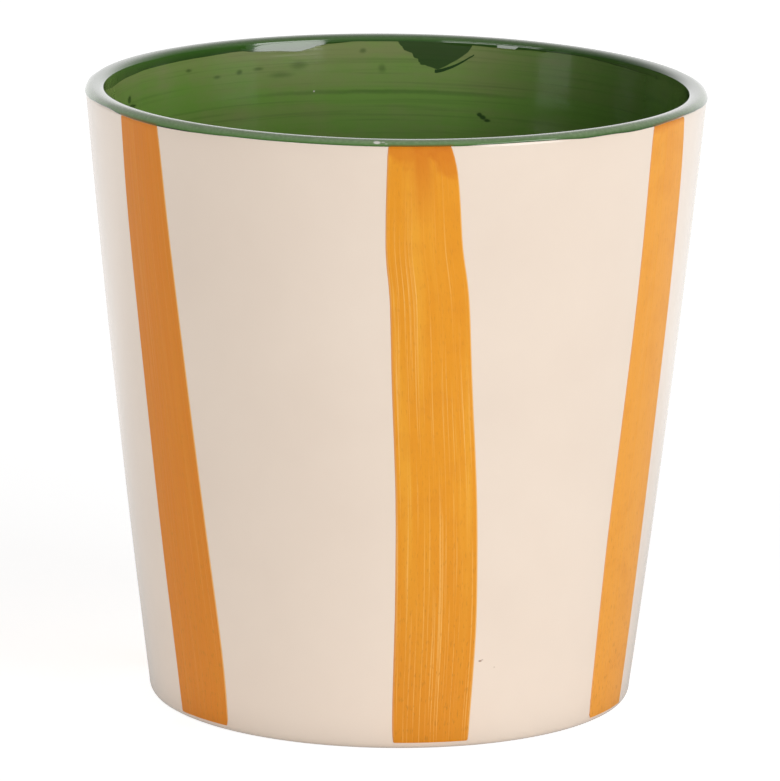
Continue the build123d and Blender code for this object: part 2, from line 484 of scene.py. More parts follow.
def makeOchre():
    material, tree = startMaterial("ochreSlip")
    uv = addNode(tree, "UVMap", uv_map="UVMap")
    split = addNode(tree, "SeparateXYZ", {0: uv})
    # each stroke has its own tone, painted shade to the left and painted light to the right, which also shifts
    # its patterns, its own dryness and its own blot
    tone, dry, blotEnd = [addNode(tree, "Attribute", attribute_name=name).outputs["Fac"]
                          for name in ("strokeLitTone", "strokeDry", "strokeBlot")]
    apart = addNode(tree, "CombineXYZ", {2: tone})
    own = addNode(tree, "VectorMath", {0: uv, 1: apart}, operation='ADD')
    measures = {"tone": tone, "across": split.outputs[0], "along": split.outputs[1]}
    for name in ("bristles", "bands", "clouds", "flecks"):
        width, length, detail, roughness = ochreSlip[name]
        scale = (stroke["brushWidth"] / width, strokeLength / length, ochreSlip["apart"])
        stretched = addNode(tree, "Mapping", {"Vector": own, "Scale": scale})
        measures[name] = addNode(tree, "TexNoise", {
            "Vector": stretched, "Scale": 1, "Detail": detail, "Roughness": roughness})
    # how far down from the green edge, and past the blot's ragged lower end
    down = addNode(tree, "Math", {0: seenShare, 1: measures["along"]}, operation='SUBTRACT')
    ragged = addNode(tree, "Math", {0: measures["clouds"], 1: 0.5}, operation='SUBTRACT')
    rag = addNode(tree, "Math", {0: dry, 1: -ochreSlip["rag"]}, operation='MULTIPLY')
    ragged = addNode(tree, "Math", {0: ragged, 1: rag, 2: down}, operation='MULTIPLY_ADD')
    measures["down"] = down
    measures["pastBlot"] = addNode(tree, "Math", {0: ragged, 1: blotEnd}, operation='SUBTRACT')
    shares = {"dry": dry}
    for name, (measure, low, high, first, last) in ochreShares.items():
        shares[name] = addNode(tree, "MapRange", {
            "Value": measures[measure], "From Min": low, "From Max": high, "To Min": first, "To Max": last})
    for name, factor in ochreFactors:
        shares[name] = addNode(tree, "Math", {0: shares[name], 1: shares[factor]},
                               operation='MULTIPLY')
    shares["blot"] = addNode(tree, "Math", {0: shares["blot"], 1: shares["core"]},
                             operation='MAXIMUM')
    layers = [(shares[name], layer) for name, layer in ochreLayers]
    bump = addNode(tree, "Bump", {
        "Height": measures["bristles"], "Strength": ochreSlip["bump"], "Distance": mm(ochreSlip["relief"])})
    finishMaterial(tree, ochreSlip, "left", layers, {"Normal": bump})
    return material


def makeStroke(name, shape, coatPiece, material):
    stations = shape.get("stations", usualStations)
    levels = shape.get("levels", stroke["levels"])
    width = stroke["brushWidth"]
    bpy.ops.object.select_all(action='DESELECT')
    bpy.ops.mesh.primitive_grid_add(x_subdivisions=stroke["columns"] // 2, y_subdivisions=len(stations) - 1,
                                    size=1, location=(0, 0, 0))
    piece = bpy.context.object
    piece.name = piece.data.name = name
    editMode()
    # the grid is one metre square, so it is first brought to the stroke's own size
    bpy.ops.transform.resize(value=(mm(width), mm(strokeLength), 1), center_override=(0, 0, 0))
    bpy.ops.transform.translate(value=(0, mm(strokeLength / 2), 0))
    rowHeights = spread(0, strokeLength, len(stations) - 1)
    for row, share in enumerate(stations):
        here = rowHeights[row]
        pickVerts(piece, lambda co: abs(co.y - here) < near and co.z < stroke["lift"] / 2)
        # a row that has been placed is lifted off the plane, so that no later pick takes it too
        bpy.ops.transform.resize(value=(shape["width"][row], 1, 1), center_override=(0, mm(here), 0))
        rowPlace = share * seenLength if row else shape["foot"] - strokeFoot
        bpy.ops.transform.translate(
            value=(mm(width * shape["drift"][row]), mm(rowPlace - here), mm(stroke["lift"])))
    pickVerts(piece, lambda co: co.y > seenLength - near)
    bpy.ops.mesh.extrude_region_move(TRANSFORM_OT_translate={"value": (0, mm(stroke["topUnderSkirt"]), 0)})
    bpy.ops.mesh.select_all(action='SELECT')
    bpy.ops.transform.translate(value=(0, 0, -mm(stroke["lift"])))
    objectMode()
    applyModifier(piece, 'SUBSURF', levels=levels, render_levels=levels, boundary_smooth='PRESERVE_CORNERS')
    laySlip(piece, shape)
    # stood up, turned to its bearing and pressed straight back on to the coat
    turn = math.tau * shape["turn"]
    reach = mm(pot["rimRadius"] + stroke["standOff"])
    piece.rotation_euler = (math.pi / 2, 0, turn)
    piece.location = (math.sin(turn) * reach, -math.cos(turn) * reach, mm(strokeFoot))
    applyModifier(piece, 'SHRINKWRAP', target=coatPiece, wrap_method='PROJECT', use_project_z=True,
                  use_negative_direction=True, use_positive_direction=False, offset=mm(-stroke["sunk"]))
    applyModifier(piece, 'SOLIDIFY', thickness=mm(stroke["depth"]), offset=1, vertex_group="slip",
                  thickness_vertex_group=stroke["thinnest"])
    finishPiece(piece, material, shape["node"], stroke["crease"])


def laySlip(piece, shape):
    # how deep the slip lies at each point: feathered at its edges, with a bead and bristle ridges,
    # and thin where it runs in under the green skirt
    draws = random.Random(stroke["seed"] + round(shape["turn"] * 1000))
    ridges = [1 - stroke["ridges"] * draws.random() for i in range(stroke["columns"] + 1)]
    uvs = piece.data.uv_layers.active.data
    verts = piece.data.vertices
    across = [0] * len(verts)
    for loop in piece.data.loops:
        across[loop.vertex_index] = uvs[loop.index].uv.x
        # the material's own coordinates are even along the stroke, whatever its stations are
        uvs[loop.index].uv.y = verts[loop.vertex_index].co.y * 1000 / strokeLength
    slip = piece.vertex_groups.new(name="slip")
    for vert in verts:
        height = vert.co.y * 1000
        place = across[vert.index] * stroke["columns"]
        column = min(stroke["columns"] - 1, int(place))
        ridge = ridges[column] + (ridges[column + 1] - ridges[column]) * (place - column)
        fromEdge = min(across[vert.index], 1 - across[vert.index]) * stroke["brushWidth"]
        inward = min(fromEdge, height - shape["foot"] + strokeFoot) / stroke["edge"]
        share = ridge
        if inward < 1:
            share = stroke["bead"] * (stroke["feather"] + (1 - stroke["feather"]) * inward)
        elif inward < 2:
            share = stroke["bead"] + (ridge - stroke["bead"]) * (inward - 1)
        underSkirt = 1 + (height - seenLength) / stroke["skirtRun"]
        share *= 1 - stroke["skirtThin"] * min(1, max(0, underSkirt))
        slip.add([vert.index], share, 'REPLACE')
    setAttribute(piece, "strokeLitTone", [shape["tone"]] * len(verts))
    setAttribute(piece, "strokeDry", [shape["dry"]] * len(verts))
    # how far the blot comes down here, as a share of the stroke's length
    blots = [max(0, shape["blot"] + shape["blotLean"] * (place - 0.5)) / strokeLength for place in across]
    setAttribute(piece, "strokeBlot", blots)


# Green lining: over the floor, the inside and the lip, and a little way down the outside.
# Inside the lip the glaze rolls over to a steep band that ends in a low step. On part of the far side
# the band leans out to the wall instead.
lining = {
    "thickness": 0.5,
    "rollDepth": 1.1,         # how far down the inside the lip's roll reaches
    "rollEnd": 88,            # degrees that the roll turns, just short of the lip's top
    "leanTop": 1.25,          # depths between which the band leans out
    "leanFoot": 2.0,
    "leanFlush": 1.5,         # the depth at which the leaning part would meet the wall
    "lean": 5.8,              # degrees that it leans out more than the wall
    "roll": 0.12,             # how far the roll stands in from the wall's line
    "footGap": 0.08,          # the rows this far below the band's foot and top keep its edges crisp
    "topGap": 0.06,
    "closeRows": 5.0,         # the wall's rows are close together this far below the band
    "rowHeight": 1.6,
    "rings": 0.02,            # how far brushed rings stand in or out
    "bead": 0.16,             # the skirt edge's rounding
    "beadDrop": 0.7,          # how much of it has dropped halfway round
    "clearance": 0.02,        # between the skirt's hidden edge and the clay
    "clayCorner": -22,        # where the hidden corner's points start
    "floorRows": 6, "cornerRows": 9, "bandRows": 12, "rollRows": 13, "lipRows": 12,
    "clayRows": (3, 4, 6, 3),             # hidden rows behind the skirt, lip, wall and corner
    "steps": 480,
    "seed": 5,
    "crease": 40,
    "settle": 8.0,            # how strong the painted sheen is on the lip's inside, where the outside is 1
    "innerLip": 0.6,          # how much the glaze thins on the lip's inside, where the outside is 1
    "ochreFade": 0.5,         # how far up the skirt a stroke shows through
    "shadedEdge": (-74, -40),   # bearings between which the skirt's edge is darkest, pooled glaze with painted shadow on the shaded left
    "edgeElsewhere": 0.45,         # how dark it is elsewhere, where 1 is darkest
    "grip": 1.5,              # the rim is pulled down by its top, this far round a point
    "gripDepth": 0.6,
}
leanFoot = rimHeight - lining["leanFoot"]
leanTop = rimHeight - lining["leanTop"]
rollFoot = rimHeight - lining["rollDepth"]
skirtEvery = 6                # degrees between the skirt's depths
skirt = {
    "from": -90, "seed": 7, "deepest": 1.85, "shallowest": 1.0,       # the limits are for the hidden side
    "depths": (1.65, 1.7, 1.55, 1.2, 1.05, 1.5, 1.68, 1.8, 1.76, 1.6, 1.42, 1.4, 1.33, 1.31, 1.29, 1.28, 1.25,
               1.24, 1.03, 0.98, 1.12, 1.5, 1.42, 1.6, 1.5, 1.24, 1.1, 1.25, 1.5, 1.6, 1.55),
}
# the band's edges as marks of bearing and depth, and where it leans
bandMarks = {
    "leanTop": ((0, 1.25), (148, 1.2), (165, 1.2), (180, 1.2), (205, 1.2), (208, 1.35), (212, 2.1),
                (215, 1.25)),
    "leanFoot": ((0, 1.9), (40, 2.1), (96, 2.4), (113, 2.42), (121, 2.56), (128, 2.32), (134, 2.0),
                 (139, 1.69), (144.5, 1.65), (150, 1.85), (157, 2.05), (166, 1.8), (173, 1.5), (188.2, 1.5),
                 (193.9, 1.95), (196.4, 2.35), (198, 3.0), (200.5, 3.55), (207, 3.07), (210.5, 2.9),
                 (213.5, 2.5), (224, 2.82), (240, 3.07), (249, 3.43), (259, 3.9), (270, 2.6), (300, 2.0),
                 (330, 2.2)),
    "leaning": ((0, 0), (146, 0), (150, 1), (212, 1), (214.5, 0)),
}
sags = (                      # the rim stands a hair lower here
    {"bearing": 105, "depth": 0.35, "reach": 80.0},
    {"bearing": 0, "depth": 0.12, "reach": 45.0},
)


def insideFace(height):
    return wallRadius(height, -pot["wall"] - lining["thickness"])


rollStart = insideFace(rollFoot) - lining["roll"]


def makeLining(material):
    skin = lining["thickness"]
    floorTop = pot["floor"] + skin
    corner = pot["floorCorner"] - skin
    cornerHeight = floorTop + corner
    cornerCentre = insideFace(cornerHeight) - corner
    closeFoot = leanFoot - lining["closeRows"]
    draws = random.Random(lining["seed"])
    # seen side, from the middle of the floor: floor, corner, wall, band, roll, lip and skirt
    shown = [(radius, floorTop) for radius in spread(0, cornerCentre, lining["floorRows"])]
    shown += arc((cornerCentre, cornerHeight), corner, spread(-90, 0, lining["cornerRows"])[1:-1])
    rows = round((closeFoot - cornerHeight) / lining["rowHeight"])
    for height in spread(cornerHeight, closeFoot, rows)[:-1]:
        shown.append((insideFace(height) + lining["rings"] * draws.uniform(-1, 1), height))
    closeHeights = spread(closeFoot, leanFoot - lining["footGap"], lining["bandRows"])
    shown += [(insideFace(height), height) for height in closeHeights]
    shown += [(insideFace(leanFoot), leanFoot), (insideFace(leanTop), leanTop - lining["topGap"]),
              (rollStart, leanTop)]
    for angle in spread(0, lining["rollEnd"], lining["rollRows"]):
        turn = math.radians(angle)
        shown.append((rollStart + (lipCentre - rollStart) * (1 - math.cos(turn)),
                      rollFoot + lining["rollDepth"] * math.sin(turn)))
    rounding = pot["lipRounding"] + skin
    edgeAngle = math.degrees(math.asin((skirtHeight - lipSeat) / rounding))
    shown += arc((lipCentre, lipSeat), rounding, spread(90, edgeAngle, lining["lipRows"]))
    # the skirt's edge turns in to the cream
    edgeRadius = outsideRadius(skirtHeight, skin)
    bead, drop = lining["bead"], lining["beadDrop"]
    shown += [(edgeRadius - bead * (1 - drop), skirtHeight - bead * drop),
              (edgeRadius - bead, skirtHeight - bead)]
    # hidden side, on the clay
    skirtRows, lipRows, wallRows, cornerRows = lining["clayRows"]
    skirtHeights = spread(skirtHeight, clayHeight - lining["clearance"], skirtRows)
    clayLip = pot["lipRounding"]
    clayInside = (wallRadius(lipSeat, -pot["wall"]) + clayLip, lipSeat)
    clayCorner = pot["floorCorner"]
    clayCornerHeight = pot["floor"] + clayCorner
    clayCornerCentre = (wallRadius(clayCornerHeight, -pot["wall"]) - clayCorner, clayCornerHeight)
    hidden = [(outsideRadius(skirtHeight, 0) + lining["clearance"], skirtHeight - bead)]
    hidden += [(outsideRadius(height, 0), height) for height in skirtHeights] + [(lipCentre, clayHeight)]
    hidden += arc(clayInside, clayLip, spread(90, 180, lipRows))
    wallHeights = spread(lipSeat, clayCornerHeight, wallRows)[1:]
    hidden += [(wallRadius(height, -pot["wall"]), height) for height in wallHeights]
    hidden += arc(clayCornerCentre, clayCorner, spread(lining["clayCorner"], -90, cornerRows))
    hidden.append((0, pot["floor"]))
    piece = drawAndSpin("greenGlazeLining", shown + hidden, lining["steps"])
    markLining(piece)
    shapeLining(piece)
    finishPiece(piece, material, "green_glaze_lining", lining["crease"])


def markLining(piece):
    # for the material: where the glaze ends outside, with a dark line that is partly painted shadow, where it
    # lies over a stroke, the lip's band, the painted shadow under the band's step and the painted sheen on the
    # lip's top
    firstShaded, lastShaded = lining["shadedEdge"]
    marks = {name: [] for name in ("skirtEdge", "overOchre", "lipBand", "stepShadow", "lipSheen")}
    for vert in piece.data.vertices:
        x, y, z = vert.co * 1000
        outside = math.hypot(x, y) > lipCentre
        marks["lipBand"].append(1 if z > leanFoot - 2 * near else 0)
        # painted shadow on the ring at the band's step
        marks["stepShadow"].append(1 if not outside and abs(z - leanFoot) < 2 * near else 0)
        # painted sheen, paler towards the top of the lip
        reach = rimHeight - skirtHeight if outside else lining["rollDepth"]
        thinning = max(0, 1 - (rimHeight - z) / reach)
        marks["lipSheen"].append(thinning * (1 if outside else lining["innerLip"]))
        ochreUnder = 0
        for shape in strokes.values():
            turn = math.tau * shape["turn"]
            across = x * math.cos(turn) + y * math.sin(turn)
            facing = x * math.sin(turn) - y * math.cos(turn)
            middle = stroke["brushWidth"] * shape["drift"][-1]
            half = stroke["brushWidth"] * shape["width"][-1] / 2
            if outside and facing > 0 and abs(across - middle) < half:
                ochreUnder = max(0, 1 - (z - skirtHeight) / lining["ochreFade"])
        marks["overOchre"].append(ochreUnder)
        shadedEdge = firstShaded < math.degrees(math.atan2(x, -y)) < lastShaded
        atEdge = outside and z < skirtHeight + near and not ochreUnder
        # the dark line along the skirt's edge: partly pooled glaze, partly painted shadow under the raised
        # edge, darkest on the shaded left
        marks["skirtEdge"].append((1 if shadedEdge else lining["edgeElsewhere"]) if atEdge else 0)
    for name, values in marks.items():
        setAttribute(piece, name, values)


def smooth(share):
    return share * share * (3 - 2 * share)


def alongEdge(marks, bearing):
    # the value at a bearing, running smoothly from each mark to the next
    bearing = (bearing - marks[0][0]) % 360 + marks[0][0]
    ends = list(marks) + [(marks[0][0] + 360, marks[0][1])]
    for (start, first), (end, last) in zip(ends, ends[1:]):
        if bearing <= end:
            return first + (last - first) * smooth((bearing - start) / (end - start))


def shift(piece, axis, amounts):
    # moves each vertex along one axis by its own amount, up and down that axis in turn
    for way in (1, -1):
        most = max(way * amount for amount in amounts)
        group = piece.vertex_groups.new(name="shift" + axis)
        for index, amount in enumerate(amounts):
            if way * amount > 0:
                group.add([index], way * amount / most, 'REPLACE')
        applyModifier(piece, 'DISPLACE', direction=axis, vertex_group=group.name, mid_level=0,
                      strength=way * mm(most))
        piece.vertex_groups.clear()


def shapeLining(piece):
    slopeRun = 2
    wallSlope = (insideFace(leanFoot) - insideFace(leanFoot - slopeRun)) / slopeRun
    leanSlope = wallSlope + math.tan(math.radians(lining["lean"]))
    skirtTilt = (skirtHeight - lipSeat) / (pot["lipRounding"] + lining["thickness"])
    halfSkin = lining["thickness"] / 2        # tells the glaze's face from its hidden side
    draws = random.Random(skirt["seed"])
    depths = list(skirt["depths"])
    depths += [draws.uniform(skirt["shallowest"], skirt["deepest"])
               for i in range(360 // skirtEvery - len(depths))]
    skirtMarks = [(skirt["from"] + skirtEvery * i, depth) for i, depth in enumerate(depths)]
    right, back, up = [], [], []
    for vert in piece.data.vertices:
        x, y, z = vert.co * 1000
        radius = math.hypot(x, y)
        bearing = math.degrees(math.atan2(x, -y))
        outward, down = 0, 0
        if radius > max(lipCentre, outsideRadius(min(z, rimHeight - near), halfSkin)):
            share = (rimHeight - z) / (rimHeight - skirtHeight)
            down = (alongEdge(skirtMarks, bearing) - rimHeight + skirtHeight) * min(1, share)
            outward = down * skirtTilt
        elif leanFoot - lining["settle"] < z < leanTop + near and radius < insideFace(z) + halfSkin:
            top, foot, leaning = [alongEdge(bandMarks[name], bearing)
                                  for name in ("leanTop", "leanFoot", "leaning")]
            depth = foot if z < leanFoot + near else top
            steep = rollStart - wallSlope * (depth - lining["rollDepth"])
            flush = insideFace(rimHeight - lining["leanFlush"])
            leant = leaning * (flush - leanSlope * (depth - lining["leanFlush"])) + (1 - leaning) * steep
            if z > leanFoot + near:
                down = top - lining["leanTop"]
                outward = (steep if z > leanTop - near else leant) - radius
            else:
                down = (foot - lining["leanFoot"]) * smooth(1 - (leanFoot - z) / lining["settle"])
                outward = leant - radius if z > leanFoot - near else -wallSlope * down
        right.append(outward * x / max(radius, 1))
        back.append(outward * y / max(radius, 1))
        up.append(-down)
    for axis, amounts in (('X', right), ('Y', back), ('Z', up)):
        shift(piece, axis, amounts)
    only(piece)
    editMode()
    for sag in sags:
        turn = math.radians(sag["bearing"])
        place = Vector((math.sin(turn), -math.cos(turn))) * lipCentre
        pickVerts(piece, lambda co: (co.z > rimHeight - lining["gripDepth"]
                                     and (co.xy - place).length < lining["grip"]))
        bpy.ops.transform.translate(value=(0, 0, mm(-sag["depth"])), use_proportional_edit=True,
                                    proportional_edit_falloff='SMOOTH', proportional_size=mm(sag["reach"]))
    objectMode()


# Green glaze: copper glaze brushed round the inside and over the lip, fired to a full gloss.
# Translucent, deep green where it pooled and banded by the brush. Painted light and reflection make it
# olive near the rim, painted shade darkens the inside's right side, a painted sheen pales the lip's top
# and painted shadow darkens the step inside it and, in part, the skirt's edge.
greenGlaze = {
    "body": "#83B04E",
    # for brushed bands and clouds, and for the painted reflection near the rim
    "light": "#98A666",
    # pooled glaze, also used for the painted shade on the inside's right side
    "pooledAndShaded": "#274C19",
    "lip": "#47742F",
    # painted sheen on the lip's top
    "lipSheen": "#A9C096",
    # dark line, for the painted shadow under the band's step and the skirt's edge
    "edge": "#262F18",
    "overOchre": "#7D5A1C",
    "chip": "#F2EFE6",
    "bands": (4.2, 120.0, 3, 0.55),       # brushed patterns: height, run round the wall, detail, roughness
    "hairs": (0.7, 40.0, 3, 0.5),
    "clouds": (14.0, 4, 0.6),             # even patterns: size, detail, roughness
    "grains": (0.8, 2, 0.5),
    "wander": (2.5, 0, 1.5),  # how far the marks' edges stray
    "reflectionDepth": 13.0,        # how far the painted reflection, a lighter olive zone, comes down from the rim
    "shadeRightFrom": 15.0,        # painted shade: the inside darkens towards its right side, from X to X
    "shadeRightTo": 62.0,
    "paintedShadeRight": 0.9,
    "stepShadow": 0.5,          # how dark the painted shadow under the band's step is
    "roughness": 0.12,
    "relief": 0.05,
    "bump": 0.3,
    "topLayer": 0.95,
    "topRoughness": 0.07,
}
# where a loaded brush touched the far wall: its lower outline as (X, depth below the rim)
brushPatch = {
    "from": -1.0, "width": 21.0, "depth": 10.0, "share": 0.9,
    "softness": 0.012,        # its edge's, as a share of its depth
    "outline": ((-0.4, 1.4), (0.75, 2.1), (1.77, 3.55), (3.78, 4.5), (4.3, 5.5), (5.3, 6.0), (5.35, 6.6),
                (6.1, 7.2), (7.1, 7.3), (7.8, 7.65), (9.1, 8.0), (10.2, 8.4), (12.1, 7.5), (13.6, 6.56),
                (15.05, 5.74), (16.5, 4.67), (17.8, 3.6), (18.6, 2.4), (19.0, 1.5)),
    "line": ((9.6, 8.75), (10.8, 8.6), (12.6, 8.0), (14.6, 7.15), (16.3, 6.2), (18.0, 5.1), (19.4, 4.1)),
    "lineFrom": 0.5, "lineTo": 0.967,     # where the line beside it starts and ends across it
}
# what each share is measured by, from where to where, and its value at both ends
greenShares = {
    "rimReflection": ("height", mm(rimHeight - greenGlaze["reflectionDepth"]), mm(rimHeight - greenGlaze["reflectionDepth"] / 3),
             0, 0.5),
    "bands": ("bands", 0.38, 0.68, 0, 0.6),
    "clouds": ("clouds", 0.4, 0.7, -0.2, 0.3),
    "hairs": ("hairs", 0.52, 0.78, 0, 0.3),
    "ragged": ("patchX", 0.35, 0.55, 0.14, 0.01),
    "lineHalf": ("patchX", 0.6, 0.95, 0.042, 0.018),
    "paintedShadeRight": ("x", mm(greenGlaze["shadeRightFrom"]), mm(greenGlaze["shadeRightTo"]), 0, greenGlaze["paintedShadeRight"]),
    "grains": ("grains", 0.4, 0.65, 0.75, 1),
}
# marks on the far wall; Y only tells the walls apart
poolMarks = (
    ((-24.3, 65.0, 142.6), (3.2, 30, 1.6), 0.1, 0.35),
    ((-28.6, 62.0, 140.4), (4.6, 30, 1.1), 0.1, 0.35),
    ((-34.3, 60.2, 142.3), (2.0, 30, 0.7), 0.1, 0.5),
    ((-39.2, 57.1, 142.0), (1.2, 30, 0.9), 0.1, 0.6),
    ((-44.5, 53.0, 141.4), (1.4, 30, 0.7), 0.1, 0.5),
    ((-51.5, 46.5, 144.2), (1.2, 30, 0.65), 0.1, 0.6),
    ((-8.3, 69.1, 145.9), (1.2, 30, 1.0), 0.1, 0.5),
    ((-3.7, 69.1, 141.5), (1.4, 30, 1.6), 0.1, 0.4),
    ((20.9, 64.7, 130.5), (1.0, 30, 0.75), 0.4, 0.9),
    ((21.8, 64.5, 129.9), (1.2, 30, 0.8), 0.4, 0.9),
    ((22.9, 64.2, 129.2), (1.2, 30, 0.6), 0.3, 0.9),
    ((-65.0, 23.6, 140.6), (0.6, 8, 1.4), 0.3, 0.9),
    ((-64.2, 25.2, 138.9), (1.3, 8, 0.55), 0.3, 0.9),
    ((-2.0, 69.0, 135.6), (55.0, 30, 0.9), 0.1, 0.35),
)
chipMarks = (
    ((-4.35, -74.6, 149.05), (1.1, 2.0, 0.42), 0.5, 0.95),
    ((-2.9, -74.6, 149.1), (0.6, 2.0, 0.22), 0.4, 0.5),
    ((-2.2, -74.6, 148.8), (0.5, 2.0, 0.16), 0.4, 0.4),
    ((-20.6, 66.0, 136.0), (0.28, 8, 0.28), 0.5, 0.9),
)


def makeGreen():
    material, tree = startMaterial("greenGlaze")
    place = addNode(tree, "TexCoord").outputs["Object"]
    split = addNode(tree, "SeparateXYZ", {0: place})
    measures = {"x": split.outputs[0], "height": split.outputs[2]}
    for name in ("bands", "hairs"):
        height, run, detail, roughness = greenGlaze[name]
        stretched = addNode(tree, "Mapping", {
            "Vector": place, "Scale": (1000 / run, 1000 / run, 1000 / height)})
        measures[name] = addNode(tree, "TexNoise", {
            "Vector": stretched, "Scale": 1, "Detail": detail, "Roughness": roughness})
    for name in ("clouds", "grains"):
        size, detail, roughness = greenGlaze[name]
        measures[name] = addNode(tree, "TexNoise", {
            "Vector": place, "Scale": 1000 / size, "Detail": detail, "Roughness": roughness})
    # places across the loaded brush's patch and down from the rim, as shares of the patch's size
    patchX = addNode(tree, "MapRange", {
        "Value": split.outputs[0], "From Min": mm(brushPatch["from"]),
        "From Max": mm(brushPatch["from"] + brushPatch["width"])})
    depth = addNode(tree, "MapRange", {
        "Value": split.outputs[2], "From Min": mm(rimHeight),
        "From Max": mm(rimHeight - brushPatch["depth"])}, clamp=False)
    measures["patchX"] = patchX
    shares = {}
    for name, (measure, low, high, first, last) in greenShares.items():
        shares[name] = addNode(tree, "MapRange", {
            "Value": measures[measure], "From Min": low, "From Max": high, "To Min": first, "To Max": last})
    # painted reflection and light make it olive near the top; bands and clouds lighten it below
    light = addNode(tree, "Math", {0: shares["bands"], 1: shares["rimReflection"]}, operation='ADD')
    light = addNode(tree, "Math", {0: light, 1: shares["clouds"]}, operation='ADD', use_clamp=True)
    # the patch's outline and the line beside it, drawn from X to depth
    drawn = {}
    for name, handle in (("outline", 'VECTOR'), ("line", 'AUTO')):
        drawn[name] = addNode(tree, "FloatCurve", {"Value": patchX})
        curve = drawn[name].mapping.curves[0]
        curve.points[0].location = (0, 0)
        curve.points[1].location = (1, 0)
        for x, down in brushPatch[name]:
            place2d = ((x - brushPatch["from"]) / brushPatch["width"], down / brushPatch["depth"])
            curve.points.new(*place2d).handle_type = handle
        drawn[name].mapping.update()
    ragged = addNode(tree, "Math", {0: measures["hairs"], 1: 0.5}, operation='SUBTRACT')
    ragged = addNode(tree, "Math", {0: ragged, 1: shares["ragged"], 2: depth},
                     operation='MULTIPLY_ADD')
    above = addNode(tree, "Math", {0: drawn["outline"], 1: ragged}, operation='SUBTRACT')
    patch = addNode(tree, "MapRange", {
        "Value": above, "From Min": -brushPatch["softness"], "From Max": brushPatch["softness"],
        "To Max": brushPatch["share"]})
    offLine = addNode(tree, "Math", {0: drawn["line"], 1: depth}, operation='SUBTRACT')
    offLine = addNode(tree, "Math", {0: offLine}, operation='ABSOLUTE')
    marked = addNode(tree, "Math", {0: offLine, 1: shares["lineHalf"]}, operation='LESS_THAN')
    for end, side in (("lineFrom", 'GREATER_THAN'), ("lineTo", 'LESS_THAN')):
        within = addNode(tree, "Math", {0: patchX, 1: brushPatch[end]}, operation=side)
        marked = addNode(tree, "Math", {0: marked, 1: within}, operation='MULTIPLY')
    marked = addNode(tree, "Math", {0: marked, 1: patch}, operation='MAXIMUM')
    farWall = addNode(tree, "Math", {0: split.outputs[1], 1: 0}, operation='GREATER_THAN')
    marked = addNode(tree, "Math", {0: marked, 1: farWall}, operation='MULTIPLY')
    # marks with edges that wander a little
    wander = addNode(tree, "VectorMath", {0: measures["clouds"].outputs["Color"], 1: (0.5, 0.5, 0.5)},
                     operation='SUBTRACT')
    wandered = addNode(tree, "VectorMath", {
        0: wander, 1: [mm(v) for v in greenGlaze["wander"]], 2: place}, operation='MULTIPLY_ADD')
    # the lip's band, the painted sheen on its top, the painted shadow under its step inside, the ochre that
    # shows through and the dark edge outside, which is partly painted shadow
    lipBand, lipSheen, stepShadow, overOchre, skirtEdge = [
        addNode(tree, "Attribute", attribute_name=name).outputs["Fac"]
        for name in ("lipBand", "lipSheen", "stepShadow", "overOchre", "skirtEdge")]
    lipSheen = addNode(tree, "Math", {0: lipSheen, 1: shares["grains"]}, operation='MULTIPLY')
    stepShadow = addNode(tree, "Math", {0: stepShadow, 1: greenGlaze["stepShadow"]}, operation='MULTIPLY')
    layers = [(light, "light"), (shares["hairs"], "pooledAndShaded")]
    layers += [(spotShare(tree, wandered, spot), "pooledAndShaded") for spot in poolMarks]
    layers += [(marked, "pooledAndShaded"), (lipBand, "lip"), (shares["paintedShadeRight"], "pooledAndShaded"), (lipSheen, "lipSheen"),
               (stepShadow, "edge"), (overOchre, "overOchre"), (skirtEdge, "edge")]
    layers += [(spotShare(tree, place, spot), "chip") for spot in chipMarks]
    bump = addNode(tree, "Bump", {
        "Height": measures["hairs"], "Strength": greenGlaze["bump"], "Distance": mm(greenGlaze["relief"])})
    finishMaterial(tree, greenGlaze, "body", layers, {"Normal": bump})
    return material


# Studio: a white sweep, two softboxes beside the camera and a white surround
studio = {
    "floorSize": 8000.0,
    "floor": "#F4F4F4",
    "floorGlow": 0.84,
    "glowFrom": 100.0,        # the sweep is lit a little more beyond the pot, between these places
    "glowTo": 800.0,
    "floorShadow": 0.6,
    "floorBounce": 0.8,       # light that the floor sends on from lamps out of view
    "bounceStart": 57.0,      # distances from the pot's axis between which it grows
    "bounceFull": 66.0,
    "tableFrom": -200.0,      # in gloss the table ends in front, between these places
    "tableTo": 300.0,
    "horizon": 0.94,          # what the surround gives the object from the side, and from above
    "overhead": 0.08,
    "skyFrom": 0.1,           # rise of the light's direction between them
    "skyTo": 0.4,
    "glossBehindCamera": 0.15,
    "glossOverhead": 0.12,
    "roofFrom": 0.25,         # and in gloss
    "roofTo": 1.0,
    "beyondFrom": 0.2,        # in gloss the room is white past these directions, away from the camera
    "beyondTo": 0.92,
}
softboxes = {
    "keyBox": {"bearing": 46, "elevation": 14, "distance": 1000, "width": 540, "height": 560,
               "radiance": 4.35},
    "fillBox": {"bearing": -41, "elevation": 12, "distance": 1000, "width": 780, "height": 160,
                "radiance": 3.4},
}
view = {"distance": 1706, "elevation": 12.45, "roll": 0.70, "lens": 324.1, "shiftX": -0.0036,
        "shiftY": -0.0031}
white = (1, 1, 1, 1)


def rayShares(tree):
    # 1 for what the camera sees straight, and 1 for what it sees reflected or through glass
    ray = addNode(tree, "LightPath").outputs
    mirrored = addNode(tree, "Math", {0: ray["Is Glossy Ray"], 1: ray["Is Transmission Ray"]},
                       operation='MAXIMUM')
    return ray["Is Camera Ray"], mirrored


